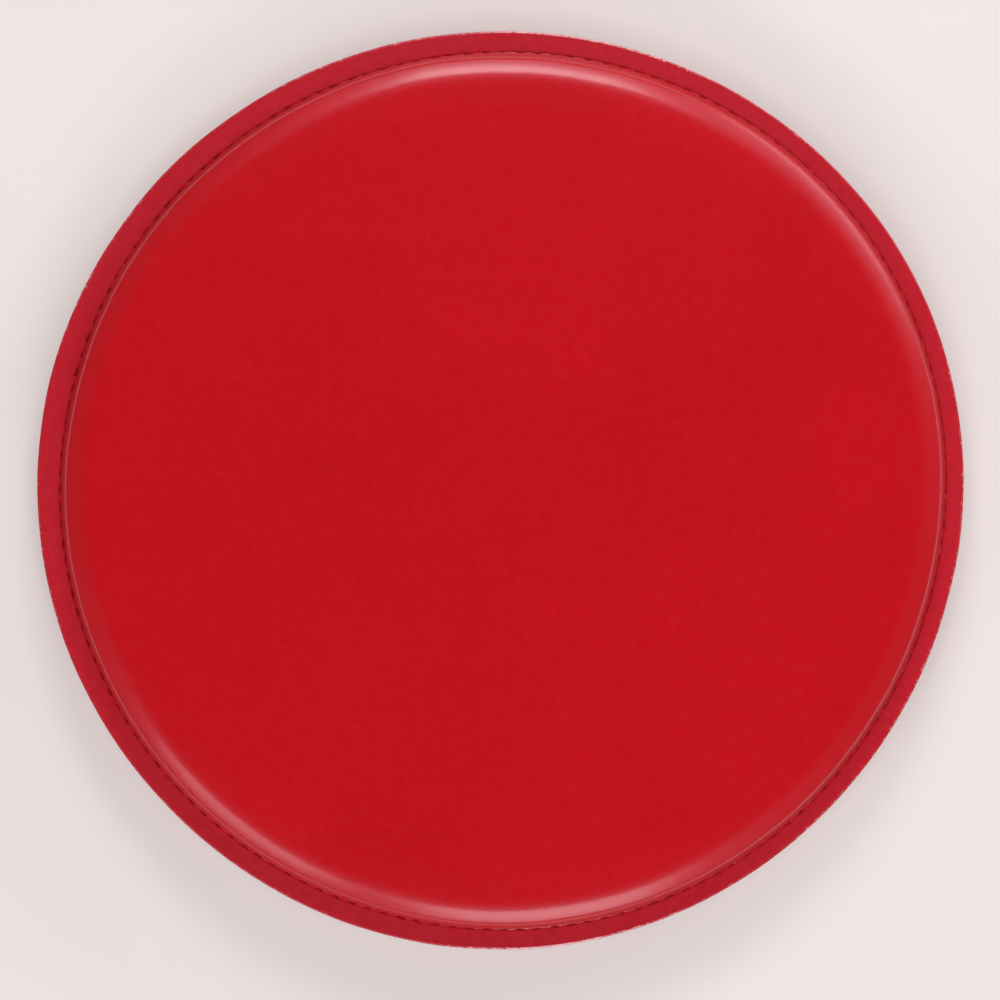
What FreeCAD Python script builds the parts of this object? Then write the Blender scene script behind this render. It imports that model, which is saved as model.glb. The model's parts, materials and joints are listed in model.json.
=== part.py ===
import FreeCAD, Part
import math
import os

# Round leather paddle case that opens like a clamshell. The front, with its sewn rim, is the lid.
# A zip runs round the wall under the rim, and a leather strip hinges the lid at the back (+Y).
# Origin: centre of the case on the plane that it lies on. +Z is up, through the front. Millimetres.

# ---- driving sizes ----
RIM_DIAMETER = 290.0          # over the flat sewn rim
RIM_WIDTH = 6.8               # from the foot of the rolled edge to the trimmed edge
FRONT_RISE = 12.6             # of the front above the rim
BACK_DEPTH = 15.0             # from the resting plane to the rim's underside
LEATHER = 1.5                 # thickness of the outer leather
BACK_ROLL = 3.0               # radius of the back's lower edge, as far as its wall allows
FRONT_WALL = 3.0              # straight part of the front's rolled edge
FRONT_LEAN = 1.0              # how far that part leans inward

TAPE = 0.6                    # thickness of the zip tapes and of skived leather in the rim
BACKING = 1.3                 # thickness of the rim's lower leather
TAPE_INSET = 1.0              # of the tape's turned edge from the rim's trimmed edge
FOAM_FRONT = 1.2
FOAM_BACK = 1.0
BOARD = 1.2
LINING = 0.4
BOARD_PAST_ROLL = 1.4         # of the front's board past the start of the rolled edge
FOAM_INSET = 2.0              # of each foam disc from its board's edge
BOARD_GAP = 0.15              # between the back's board and the hinge
LAYER_GAP = 0.1               # between a wall and what is sewn against it
LINING_GAP = 0.15             # between the lining and what it lies against

# zip, after a metal one with teeth 5 mm across
TOOTH_PITCH = 2.5
TOOTH_WIDTH = 1.15            # along the zip
TOOTH_THICKNESS = 2.4         # through the tape
TOOTH_REACH = 2.6             # from the zip's centre line to a tooth's foot
TOOTH_HEAD = 0.9              # how far a tooth passes the centre line
TOOTH_TIP = 1.4               # thickness of a tooth's head
TAPE_EDGE = 1.0               # of each tape from the centre line
TOOTH_SLOT_GAP = 0.05         # between a tooth's legs and the tape
HINGE_WIDTH = 62.0            # of the leather hinge, along the wall
HINGE_LEATHER = 1.2
HINGE_OVERLAP = 4.6           # of each hinge end behind the tapes' ends

# slider and pull, in the slider's own frame: X out of the wall, Y along the zip, Z across it
SLIDER_LENGTH = 10.5
SLIDER_PLATE = 1.2
SLIDER_ROOM = 0.45            # between the slider and the leather above and below it
SLIDER_FRONT_HALF = 4.3
SLIDER_REAR_HALF = 3.6
CHANNEL_GAP = 0.2             # round the teeth inside the slider
SLIDER_LIP = 0.8              # width of the lips along the slider's sides
TAPE_SLOT = 1.2               # between the lips
WEDGE_LENGTH = 3.8
WEDGE_HALF = 0.75
WEDGE_SETBACK = 0.3           # of the wedge from the slider's front
SLIDER_SETBACK = 7.2          # of the slider, at either end of its run, from the hinge
STOP_GAP = 0.4                # between the slider and each stop
STOP_LENGTH = 1.8
CROWN_LENGTH = 6.8
CROWN_RISE = 2.7
CROWN_THICKNESS = 0.8
CROWN_HALF = 1.2
CROWN_SLOPE = 1.0             # how much shorter the crown's top is at each end
PIN_RADIUS = 0.55
PIN_RISE = 1.05               # of the pull's pin above the slider's outer plate
LINK_HALF = 3.9
LINK_ARM = 0.9
LINK_LENGTH = 7.9
LINK_THICKNESS = 0.9
PULL_LENGTH = 24.0            # from the pin to the strap's tip
STRAP_LAYER = 1.0
STRAP_GAP = 0.1               # round the link's bar, inside the strap's fold
PULL_TILT = 5.0               # degrees that the pull leans towards the wall

STITCH_PITCH = 5.45
STITCH_LENGTH = 3.6
THREAD = 0.5
STITCH_GAP = 0.05             # under a stitch on a curved wall
RIM_STITCH_INSET = 0.9        # of the rim's stitches from the foot of the rolled edge
WALL_STITCH_DROP = 1.3        # of the wall's stitches from its top edge
PULL_STITCH_PITCH = 2.6
PULL_STITCH_COUNT = 5
PULL_STITCH_LENGTH = 1.7

# ---- sizes that follow ----
RIM_R = RIM_DIAMETER / 2
WALL_R = RIM_R - RIM_WIDTH
TAPE_R = WALL_R - LEATHER - LAYER_GAP
BACKING_TOP = BACK_DEPTH + BACKING
RIM_LEATHER_BOTTOM = BACKING_TOP + TAPE
RIM_TOP = RIM_LEATHER_BOTTOM + LEATHER
TOP = RIM_TOP + FRONT_RISE
CHAIN_R = TAPE_R - TAPE / 2
WALL_HEIGHT = BACK_DEPTH - 2 * (SLIDER_FRONT_HALF + SLIDER_ROOM)      # of the back's own wall
WALL_ROLL = min(BACK_ROLL, 0.6 * WALL_HEIGHT)
CHAIN_Z = (WALL_HEIGHT + BACK_DEPTH) / 2
BACK_FOAM_TOP = LEATHER + FOAM_BACK
BACK_BOARD_TOP = BACK_FOAM_TOP + BOARD
FRONT_ROLL = FRONT_RISE - FRONT_WALL
FRONT_ROLL_X = WALL_R - FRONT_LEAN - FRONT_ROLL
FRONT_ROLL_Z = RIM_TOP + FRONT_WALL
FRONT_FOAM_BOTTOM = TOP - LEATHER - FOAM_FRONT
FRONT_BOARD_BOTTOM = FRONT_FOAM_BOTTOM - BOARD
FRONT_BOARD_R = FRONT_ROLL_X + BOARD_PAST_ROLL
LINING_R = TAPE_R - TAPE - LINING_GAP
HINGE_INNER_R = TAPE_R - TAPE - HINGE_LEATHER
BACK_BOARD_R = HINGE_INNER_R - BOARD_GAP
FLOOR_TOP = BACK_BOARD_TOP + LINING


def degrees_of(arc):
    """The angle that an arc of this length spans at the zip's radius."""
    return math.degrees(arc / CHAIN_R)


HINGE_HALF = degrees_of(HINGE_WIDTH / 2)
ZIP_START = 90.0 - HINGE_HALF                     # right of the hinge, where the zip is closed
ZIP_END = ZIP_START - (360.0 - 2 * HINGE_HALF)    # left of the hinge, after going round the front
SLIDER_REST = ZIP_START - degrees_of(SLIDER_SETBACK + SLIDER_LENGTH / 2)
SLIDER_END = ZIP_END + degrees_of(SLIDER_SETBACK + SLIDER_LENGTH / 2)


def section(start, *steps):
    """A closed face in the XZ plane. A step is a point, or (a point on an arc, the arc's end)."""
    def place(point):
        return FreeCAD.Vector(point[0], 0, point[1])

    edges = []
    here = place(start)
    for step in list(steps) + [start]:
        if isinstance(step[0], tuple):
            end = place(step[1])
            edges.append(Part.Arc(here, place(step[0]), end).toShape())
        else:
            end = place(step)
            edges.append(Part.LineSegment(here, end).toShape())
        here = end
    return Part.Face(Part.Wire(edges))


def on_circle(centre, radius, angle):
    """The point of a circle in a section at an angle in degrees from +X towards +Z."""
    turn = math.radians(angle)
    return (centre[0] + radius * math.cos(turn), centre[1] + radius * math.sin(turn))


def ring(face, start=0.0, sweep=360.0):
    """The solid that a section makes when it turns about Z from one angle through a sweep."""
    solid = face.revolve(FreeCAD.Vector(0, 0, 0), FreeCAD.Vector(0, 0, 1), sweep)
    solid.rotate(FreeCAD.Vector(0, 0, 0), FreeCAD.Vector(0, 0, 1), start)
    return solid


def prism(points, plane, low, high):
    """A straight solid on a polygon: plane 'xy' is drawn in X and Y and rises along Z, and so on."""
    spots = {
        "xy": lambda a, b, c: FreeCAD.Vector(a, b, c),
        "xz": lambda a, b, c: FreeCAD.Vector(a, c, b),
        "yz": lambda a, b, c: FreeCAD.Vector(c, a, b),
    }[plane]
    corners = [spots(a, b, low) for a, b in points]
    face = Part.Face(Part.makePolygon(corners + corners[:1]))
    return face.extrude(spots(0, 0, high) - spots(0, 0, low))


def block(low, high):
    """A box between two corners."""
    size = [b - a for a, b in zip(low, high)]
    return Part.makeBox(*size, FreeCAD.Vector(*low))


def at_angle(shape, angle):
    """A copy of a piece that was made on +X, turned about Z to its place."""
    copy = shape.copy()
    copy.rotate(FreeCAD.Vector(0, 0, 0), FreeCAD.Vector(0, 0, 1), angle)
    return copy


def disc(radius, low, high):
    return Part.makeCylinder(radius, high - low, FreeCAD.Vector(0, 0, low))


# ---- lid ----
def front_panel():
    """Flat top, rolled edge, leaning wall and flat rim, all of one leather thickness."""
    centre = (FRONT_ROLL_X, FRONT_ROLL_Z)
    inner = FRONT_ROLL - LEATHER
    return ring(section(
        (0, TOP),
        (FRONT_ROLL_X, TOP),
        (on_circle(centre, FRONT_ROLL, 45), on_circle(centre, FRONT_ROLL, 0)),
        (WALL_R, RIM_TOP),
        (RIM_R, RIM_TOP),
        (RIM_R, RIM_LEATHER_BOTTOM),
        (WALL_R - LEATHER, RIM_LEATHER_BOTTOM),
        on_circle(centre, inner, 0),
        (on_circle(centre, inner, 45), on_circle(centre, inner, 90)),
        (0, TOP - LEATHER),
    ))


def front_lining():
    """Under the board, and down the inside of the wall to the rim."""
    flat_top = FRONT_BOARD_BOTTOM
    side = WALL_R - FRONT_LEAN - LEATHER - 2 * LINING_GAP
    roll = flat_top - FRONT_ROLL_Z
    centre = (side - roll, FRONT_ROLL_Z)
    inner = roll - LINING
    return ring(section(
        (0, flat_top),
        (side - roll, flat_top),
        (on_circle(centre, roll, 45), on_circle(centre, roll, 0)),
        (LINING_R, RIM_TOP),
        (LINING_R, RIM_LEATHER_BOTTOM + LINING_GAP),
        (LINING_R - LINING, RIM_LEATHER_BOTTOM + LINING_GAP),
        (LINING_R - LINING, RIM_TOP),
        on_circle(centre, inner, 0),
        (on_circle(centre, inner, 45), on_circle(centre, inner, 90)),
        (0, flat_top - LINING),
    ))


def rim_backing():
    return ring(section(
        (WALL_R - LEATHER, BACK_DEPTH),
        (RIM_R, BACK_DEPTH),
        (RIM_R, BACKING_TOP),
        (WALL_R - LEATHER, BACKING_TOP),
    ))


def upper_zip_tape():
    """Sewn flat into the rim, and turned down into the wall."""
    face = section(
        (TAPE_R - TAPE, CHAIN_Z + TAPE_EDGE),
        (TAPE_R, CHAIN_Z + TAPE_EDGE),
        (TAPE_R, BACKING_TOP),
        (RIM_R - TAPE_INSET, BACKING_TOP),
        (RIM_R - TAPE_INSET, RIM_LEATHER_BOTTOM),
        (TAPE_R - TAPE, RIM_LEATHER_BOTTOM),
    )
    return ring(face, ZIP_END, ZIP_START - ZIP_END)


# ---- back ----
def back_panel():
    """Flat bottom, rolled lower edge and a low wall."""
    centre = (WALL_R - WALL_ROLL, WALL_ROLL)
    inner = WALL_ROLL - LEATHER
    return ring(section(
        (0, 0),
        (WALL_R - WALL_ROLL, 0),
        (on_circle(centre, WALL_ROLL, -45), (WALL_R, WALL_ROLL)),
        (WALL_R, WALL_HEIGHT),
        (WALL_R - LEATHER, WALL_HEIGHT),
        (WALL_R - LEATHER, WALL_ROLL),
        (on_circle(centre, inner, -45), on_circle(centre, inner, -90)),
        (0, LEATHER),
    ))


def lower_zip_tape():
    face = section(
        (TAPE_R - TAPE, WALL_ROLL),
        (TAPE_R, WALL_ROLL),
        (TAPE_R, CHAIN_Z - TAPE_EDGE),
        (TAPE_R - TAPE, CHAIN_Z - TAPE_EDGE),
    )
    return ring(face, ZIP_END, ZIP_START - ZIP_END)


def hinge_panel():
    """Leather strip behind the tapes' ends, with its upper edge skived and sewn into the rim."""
    outer = TAPE_R - TAPE
    inner = HINGE_INNER_R
    overlap = degrees_of(HINGE_OVERLAP)
    start = 90.0 - HINGE_HALF - overlap
    sweep = 2 * (HINGE_HALF + overlap)
    strip = ring(section(
        (inner, WALL_ROLL),
        (outer, WALL_ROLL),
        (outer, RIM_LEATHER_BOTTOM),
        (inner, RIM_LEATHER_BOTTOM),
    ), start, sweep)
    turned_edge = ring(section(
        (outer, BACKING_TOP),
        (RIM_R - TAPE_INSET, BACKING_TOP),
        (RIM_R - TAPE_INSET, RIM_LEATHER_BOTTOM),
        (outer, RIM_LEATHER_BOTTOM),
    ), 90.0 - HINGE_HALF, 2 * HINGE_HALF)
    return strip.fuse(turned_edge).removeSplitter()


# ---- zip ----
def tooth(side):
    """A tooth at angle 0, its legs astride the tape. side is 1 for the upper row, -1 for the lower."""
    foot = side * TOOTH_REACH
    head = -side * TOOTH_HEAD
    shoulder = side * TOOTH_HEAD / 4
    slot_end = side * (TAPE_EDGE - TOOTH_SLOT_GAP)
    half = TOOTH_THICKNESS / 2
    tip = TOOTH_TIP / 2
    slot = TAPE / 2 + TOOTH_SLOT_GAP
    outline = [
        (half, foot), (half, shoulder), (tip, head), (-tip, head), (-half, shoulder),
        (-half, foot), (-slot, foot), (-slot, slot_end), (slot, slot_end), (slot, foot),
    ]
    placed = [(CHAIN_R + x, CHAIN_Z + z) for x, z in outline]
    return prism(placed, "xz", -TOOTH_WIDTH / 2, TOOTH_WIDTH / 2)


TOOTH_STEP = degrees_of(TOOTH_PITCH)
TEETH_START = SLIDER_REST                          # the rows stop inside the parked slider
TEETH_END = SLIDER_END - degrees_of(SLIDER_LENGTH / 2)
TOOTH_COUNT = int((TEETH_START - TEETH_END) / TOOTH_STEP)


def tooth_row(side):
    """The upper row stands half a step along, so that its heads lie between the lower ones."""
    one = tooth(side)
    shift = TOOTH_STEP / 2 if side > 0 else 0.0
    angles = [TEETH_START - shift - n * TOOTH_STEP for n in range(TOOTH_COUNT)]
    return Part.makeCompound([at_angle(one, angle) for angle in angles])


def top_stop(side):
    """A small crimp astride one tape, just ahead of the parked slider."""
    half = TOOTH_THICKNESS / 2
    slot = TAPE / 2 + TOOTH_SLOT_GAP
    near = side * (TAPE_EDGE - TOOTH_SLOT_GAP)
    tip = side * TAPE_EDGE / 2
    foot = side * TOOTH_REACH
    outline = [
        (half, foot), (half, tip), (-half, tip), (-half, foot),
        (-slot, foot), (-slot, near), (slot, near), (slot, foot),
    ]
    placed = [(CHAIN_R + x, CHAIN_Z + z) for x, z in outline]
    stop = prism(placed, "xz", -STOP_LENGTH / 2, STOP_LENGTH / 2)
    return at_angle(stop, SLIDER_REST + degrees_of(SLIDER_LENGTH / 2 + STOP_GAP + STOP_LENGTH / 2))


def bottom_stop():
    """A plate across both tapes at the far end, with a foot through the gap between them."""
    half = TOOTH_THICKNESS / 2
    slot = TAPE / 2 + TOOTH_SLOT_GAP
    web = TAPE_EDGE - TOOTH_SLOT_GAP
    outline = [
        (half, -TOOTH_REACH), (half, TOOTH_REACH), (slot, TOOTH_REACH), (slot, web),
        (-slot, web), (-slot, TOOTH_REACH), (-half, TOOTH_REACH), (-half, -TOOTH_REACH),
        (-slot, -TOOTH_REACH), (-slot, -web), (slot, -web), (slot, -TOOTH_REACH),
    ]
    placed = [(CHAIN_R + x, CHAIN_Z + z) for x, z in outline]
    stop = prism(placed, "xz", -STOP_LENGTH / 2, STOP_LENGTH / 2)
    return at_angle(stop, SLIDER_END - degrees_of(SLIDER_LENGTH / 2 + STOP_GAP + STOP_LENGTH / 2))


def on_slider(shape):
    """Take a piece from the slider's own frame to where the parked slider is."""
    shape.translate(FreeCAD.Vector(CHAIN_R, 0, CHAIN_Z))
    return at_angle(shape, SLIDER_REST)


CHANNEL = TOOTH_THICKNESS / 2 + CHANNEL_GAP
PLATE_OUT = CHANNEL + SLIDER_PLATE


def slider_body():
    """Two plates joined by a wedge, with lips along both sides that leave a slot for the tapes."""
    front = SLIDER_LENGTH / 2
    shoulder = front - SLIDER_LENGTH / 5
    outline = [
        (-front, -SLIDER_REAR_HALF), (0, -SLIDER_FRONT_HALF), (shoulder, -SLIDER_FRONT_HALF),
        (front, -SLIDER_REAR_HALF), (front, SLIDER_REAR_HALF), (shoulder, SLIDER_FRONT_HALF),
        (0, SLIDER_FRONT_HALF), (-front, SLIDER_REAR_HALF),
    ]
    body = prism(outline, "yz", -PLATE_OUT, PLATE_OUT)
    outer_edges = [
        edge for edge in body.Edges
        if abs(edge.BoundBox.XMax - edge.BoundBox.XMin) < 1e-6
    ]
    body = body.makeFillet(SLIDER_PLATE / 3, outer_edges)
    rear = SLIDER_REAR_HALF - SLIDER_LIP
    wide = SLIDER_FRONT_HALF - SLIDER_LIP
    far = SLIDER_LENGTH
    channel = prism(
        [(-far, -rear), (-front, -rear), (0, -wide), (far, -wide),
         (far, wide), (0, wide), (-front, rear), (-far, rear)],
        "yz", -CHANNEL, CHANNEL)
    tape_slot = block((-TAPE_SLOT / 2, -far, -far), (TAPE_SLOT / 2, far, far))
    tip = front - WEDGE_SETBACK
    wedge = prism(
        [(tip - WEDGE_LENGTH, 0), (tip - WEDGE_LENGTH / 3, -WEDGE_HALF), (tip, -WEDGE_HALF / 2),
         (tip, WEDGE_HALF / 2), (tip - WEDGE_LENGTH / 3, WEDGE_HALF)],
        "yz", -CHANNEL - SLIDER_PLATE / 2, CHANNEL + SLIDER_PLATE / 2)
    body = body.cut(channel).cut(tape_slot).fuse(wedge).removeSplitter()
    return on_slider(body)


def slider_crown():
    """A flat arch on the outer plate, over the pull's pin."""
    half = CROWN_LENGTH / 2
    top = half - CROWN_SLOPE
    inner = half - CROWN_THICKNESS
    inner_top = top - CROWN_THICKNESS / 2
    roof = PLATE_OUT + CROWN_RISE
    arch = prism(
        [(PLATE_OUT, -half), (roof, -top), (roof, top), (PLATE_OUT, half),
         (PLATE_OUT, inner), (roof - CROWN_THICKNESS, inner_top),
         (roof - CROWN_THICKNESS, -inner_top), (PLATE_OUT, -inner)],
        "xy", -CROWN_HALF, CROWN_HALF)
    return on_slider(arch)


PIN_X = PLATE_OUT + PIN_RISE


def on_pull(shape):
    """Lean a piece of the pull towards the wall, about the pin, then place it with the slider."""
    shape.rotate(FreeCAD.Vector(PIN_X, 0, 0), FreeCAD.Vector(0, 0, 1), -PULL_TILT)
    return on_slider(shape)


def pull_link():
    """A flat loop with a round bar under the crown."""
    half = LINK_THICKNESS / 2
    low = PIN_X - half
    high = PIN_X + half
    inside = LINK_HALF - LINK_ARM
    loop = block((low, -LINK_LENGTH, -LINK_HALF), (high, 0, LINK_HALF))
    hole = block((low - 1, LINK_ARM - LINK_LENGTH, -inside), (high + 1, LINK_ARM, inside))
    bar = Part.makeCylinder(
        PIN_RADIUS, 2 * LINK_HALF, FreeCAD.Vector(PIN_X, 0, -LINK_HALF), FreeCAD.Vector(0, 0, 1))
    return on_pull(loop.cut(hole).fuse(bar).removeSplitter())


STRAP_HALF = LINK_HALF - LINK_ARM - STRAP_GAP
STRAP_FOLD = LINK_LENGTH - LINK_ARM - STRAP_GAP - STRAP_LAYER      # from the pin to the fold
STRAP_OUT = LINK_THICKNESS / 2 + STRAP_GAP + STRAP_LAYER


def pull_strap():
    """A strip folded round the link's outer bar, its two layers glued together beyond it."""
    fold = -STRAP_FOLD
    past_bar = -(LINK_LENGTH + STRAP_GAP)
    joined = past_bar - 2 * STRAP_LAYER
    corner = STRAP_LAYER / 2
    outline = [
        (STRAP_OUT, fold - corner), (STRAP_OUT - corner, fold), (corner - STRAP_OUT, fold),
        (-STRAP_OUT, fold - corner), (-STRAP_OUT, past_bar), (-STRAP_LAYER, joined),
        (-STRAP_LAYER, -PULL_LENGTH), (STRAP_LAYER, -PULL_LENGTH), (STRAP_LAYER, joined),
        (STRAP_OUT, past_bar),
    ]
    strap = prism([(PIN_X + x, y) for x, y in outline], "xy", -STRAP_HALF, STRAP_HALF)
    room = LINK_THICKNESS / 2 + STRAP_GAP
    bar_hole = block(
        (PIN_X - room, past_bar, -LINK_HALF), (PIN_X + room, fold - STRAP_LAYER, LINK_HALF))
    return on_pull(strap.cut(bar_hole))


def pull_thread():
    """Two rows of stitches on each face of the strap."""
    first = LINK_LENGTH + STRAP_GAP + 2 * STRAP_LAYER + PULL_STITCH_PITCH / 2
    row = STRAP_HALF - THREAD
    stitches = []
    for face in (-1, 1):
        for side in (-1, 1):
            for n in range(PULL_STITCH_COUNT):
                y = -first - n * PULL_STITCH_PITCH
                low = PIN_X + min(face * STRAP_LAYER, face * (STRAP_LAYER + THREAD / 2))
                stitches.append(block(
                    (low, y - PULL_STITCH_LENGTH / 2, side * row - THREAD / 2),
                    (low + THREAD / 2, y + PULL_STITCH_LENGTH / 2, side * row + THREAD / 2)))
    return on_pull(Part.makeCompound(stitches))


# ---- stitches ----
def stitch_ring(radius, low, high, depth):
    """Even stitches right round, each a short flat bar that lies across the radius given."""
    count = round(2 * math.pi * radius / STITCH_PITCH)
    bar = block((radius, -STITCH_LENGTH / 2, low), (radius + depth, STITCH_LENGTH / 2, high))
    return Part.makeCompound([at_angle(bar, 360.0 * n / count) for n in range(count)])


def rim_thread():
    """The seam at the foot of the rolled edge, above the rim and below it."""
    radius = WALL_R + RIM_STITCH_INSET - THREAD / 2
    above = stitch_ring(radius, RIM_TOP, RIM_TOP + THREAD / 2, THREAD)
    below = stitch_ring(radius, BACK_DEPTH - THREAD / 2, BACK_DEPTH, THREAD)
    return Part.makeCompound(above.Solids + below.Solids)


def wall_thread():
    """Through the back's wall, the lower tape and the hinge, seen on the outside."""
    middle = WALL_HEIGHT - WALL_STITCH_DROP
    return stitch_ring(WALL_R + STITCH_GAP, middle - THREAD / 2, middle + THREAD / 2, THREAD / 2)


nodes = {
    "front_panel": front_panel(),
    "front_foam": disc(FRONT_BOARD_R - FOAM_INSET, FRONT_FOAM_BOTTOM, TOP - LEATHER),
    "front_board": disc(FRONT_BOARD_R, FRONT_BOARD_BOTTOM, FRONT_FOAM_BOTTOM),
    "front_lining": front_lining(),
    "rim_backing": rim_backing(),
    "rim_thread": rim_thread(),
    "upper_zip_tape": upper_zip_tape(),
    "upper_zip_teeth": tooth_row(1),
    "upper_zip_stop": top_stop(1),
    "back_panel": back_panel(),
    "back_foam": disc(BACK_BOARD_R - FOAM_INSET, LEATHER, BACK_FOAM_TOP),
    "back_board": disc(BACK_BOARD_R, BACK_FOAM_TOP, BACK_BOARD_TOP),
    "back_lining": disc(HINGE_INNER_R - LINING_GAP, BACK_BOARD_TOP, FLOOR_TOP),
    "wall_thread": wall_thread(),
    "lower_zip_tape": lower_zip_tape(),
    "lower_zip_teeth": tooth_row(-1),
    "lower_zip_stop": top_stop(-1),
    "zip_bottom_stop": bottom_stop(),
    "hinge_panel": hinge_panel(),
    "slider_body": slider_body(),
    "slider_crown": slider_crown(),
    "pull_link": pull_link(),
    "pull_strap": pull_strap(),
    "pull_thread": pull_thread(),
}

os.makedirs("parts", exist_ok=True)
for name, shape in nodes.items():
    shape.exportStep("parts/" + name + ".step")

pin = FreeCAD.Vector(CHAIN_R + PIN_X, 0, CHAIN_Z)
turn = math.radians(SLIDER_REST)
print("lid hinge axis: Y", round(TAPE_R, 3), "Z", round(CHAIN_Z, 3))
print("slider run, degrees:", round(SLIDER_REST - SLIDER_END, 3), "from", round(SLIDER_REST, 3))
print("pull pin: X", round(pin.x * math.cos(turn), 3), "Y", round(pin.x * math.sin(turn), 3))
print("pocket from", round(FLOOR_TOP, 3), "to", round(FRONT_BOARD_BOTTOM - LINING, 3))
print("rim top", round(RIM_TOP, 3), "top", round(TOP, 3), "teeth in a row", TOOTH_COUNT)
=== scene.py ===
import json
import math
import random

import bmesh
import bpy
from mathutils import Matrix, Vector, noise


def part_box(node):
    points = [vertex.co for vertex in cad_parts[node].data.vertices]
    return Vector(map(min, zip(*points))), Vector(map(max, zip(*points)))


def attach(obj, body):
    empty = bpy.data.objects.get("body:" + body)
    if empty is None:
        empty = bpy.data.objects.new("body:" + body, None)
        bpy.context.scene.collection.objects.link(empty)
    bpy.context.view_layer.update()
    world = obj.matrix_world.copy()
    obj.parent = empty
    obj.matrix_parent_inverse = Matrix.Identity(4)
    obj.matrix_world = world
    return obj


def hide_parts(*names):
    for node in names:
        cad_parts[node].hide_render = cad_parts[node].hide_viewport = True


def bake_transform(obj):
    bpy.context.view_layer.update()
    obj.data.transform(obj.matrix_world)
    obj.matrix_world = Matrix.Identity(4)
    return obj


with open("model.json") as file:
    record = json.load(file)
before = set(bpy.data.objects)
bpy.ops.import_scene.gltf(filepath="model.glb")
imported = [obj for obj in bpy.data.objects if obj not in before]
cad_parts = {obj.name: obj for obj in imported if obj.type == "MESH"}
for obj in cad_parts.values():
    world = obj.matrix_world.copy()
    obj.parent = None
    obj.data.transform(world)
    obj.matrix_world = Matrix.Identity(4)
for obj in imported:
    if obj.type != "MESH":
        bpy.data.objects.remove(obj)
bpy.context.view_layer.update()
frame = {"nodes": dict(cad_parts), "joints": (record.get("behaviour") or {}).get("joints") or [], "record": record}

MM = 0.001
TAU = 2 * math.pi

# ---- places, read from the frame ----
JOINTS = {joint["name"]: joint for joint in frame["joints"]}
RIM_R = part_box("front_panel")[1].x
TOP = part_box("front_panel")[1].z
RIM_UNDER, BACKING_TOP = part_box("rim_backing")[0].z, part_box("rim_backing")[1].z
RIM_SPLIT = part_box("upper_zip_tape")[1].z
TAPE_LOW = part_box("upper_zip_tape")[0].z
WALL_R, WALL_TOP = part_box("back_panel")[1].x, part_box("back_panel")[1].z
TAPE_R = -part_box("lower_zip_tape")[0].x
LOWER_TAPE_LOW, LOWER_TAPE_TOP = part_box("lower_zip_tape")[0].z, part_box("lower_zip_tape")[1].z
BACK_LINING_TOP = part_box("back_lining")[1].z
BOARD_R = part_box("front_board")[1].x
HINGE_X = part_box("hinge_panel")[1].x
HINGE_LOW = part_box("hinge_panel")[0].z
ZIP_Z = JOINTS["slider_run"]["pos_m"][2]
PIN = Vector(JOINTS["pull_swing"]["pos_m"])

# ---- sizes of the leather work ----
LEATHER = 1.5 * MM
TAPE = 0.6 * MM
LINING = 0.4 * MM
RIM_TOP = RIM_SPLIT + LEATHER
FRONT_WALL = 3.0 * MM            # straight part of the lid's inside, below its roll
FRONT_LEAN = 1.0 * MM            # how far that roll is set in from the wall
ROLL = TOP - RIM_TOP - FRONT_WALL
BOARD_RIDGE = 8.2 * MM           # from the wall in to where the board's edge shows
BACK_ROLL = 3.0 * MM             # radius of the back's lower edge
HINGE_LEATHER = 1.2 * MM
TAPE_INSET = 1.4 * MM            # of the edges sewn into the rim, from the rim's edge
SEWN_BEND = 0.5 * MM             # radius where those edges turn from the wall into the rim
ZIP_GAP = 13.03                  # degrees from +Y to each end of the zip's tapes

# ---- stitches ----
STITCHES = 160
STEPS = 10                       # mesh columns for each stitch
COLUMNS = STITCHES * STEPS
STITCH_SHARE = 0.49              # of the pitch that a stitch covers
STITCH_PITCH = TAU * WALL_R / STITCHES
THREAD_R = 0.27 * MM
PULL_MEAN, PULL_CHANGE = 0.72, 0.28      # how deep stitches are pulled in, and how much that changes
PULL_LEAST_AT = math.radians(10)         # where they are pulled in least

draw = random.Random(7)
STITCH_SHIFT = [draw.uniform(-0.08, 0.08) for _ in range(STITCHES)]
STITCH_DEPTH = [draw.uniform(0.5, 1.15) for _ in range(STITCHES)]
STITCH_LENGTH = [draw.uniform(0.72, 1.08) for _ in range(STITCHES)]


def smooth(low, high, value):
    """0 below low, 1 above high, and a soft step between."""
    t = min(1.0, max(0.0, (value - low) / (high - low)))
    return t * t * (3 - 2 * t)


def ripple(x, y, size, seed):
    """Soft noise from -1 to 1 with features of about the size given."""
    return noise.noise(Vector((x / size, y / size, seed)))


# How far the hand-made outlines stray from a circle, in millimetres: a mean, then the sizes of
# (cosine, sine) for once, twice, three and four times round.
SEAM_STRAY = (0.43, (0.17, 0.18), (0.64, 0.42), (-0.10, 0.38), (0.03, 0.13))
EDGE_STRAY = (0.17, (-0.68, 0.51), (0.61, 0.34), (-0.05, 0.55), (0.10, 0.08))
KNIFE_WAVER = 0.16 * MM          # of the knife along the rim's edge


def stray(turn, terms):
    """The distance that such a row of terms gives at an angle."""
    total = terms[0]
    for count, (along, across) in enumerate(terms[1:], 1):
        total += along * math.cos(count * turn) + across * math.sin(count * turn)
    return total * MM


def seam_swell(turn):
    """How far the seam lies outside its nominal circle."""
    return stray(turn, SEAM_STRAY)


def trimmed_edge(turn):
    """Distance from the centre to the rim's edge, which was cut by hand."""
    cuts = KNIFE_WAVER * ripple(math.cos(turn), math.sin(turn), 0.16, 3.0)
    return RIM_R + stray(turn, EDGE_STRAY) + cuts


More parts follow.
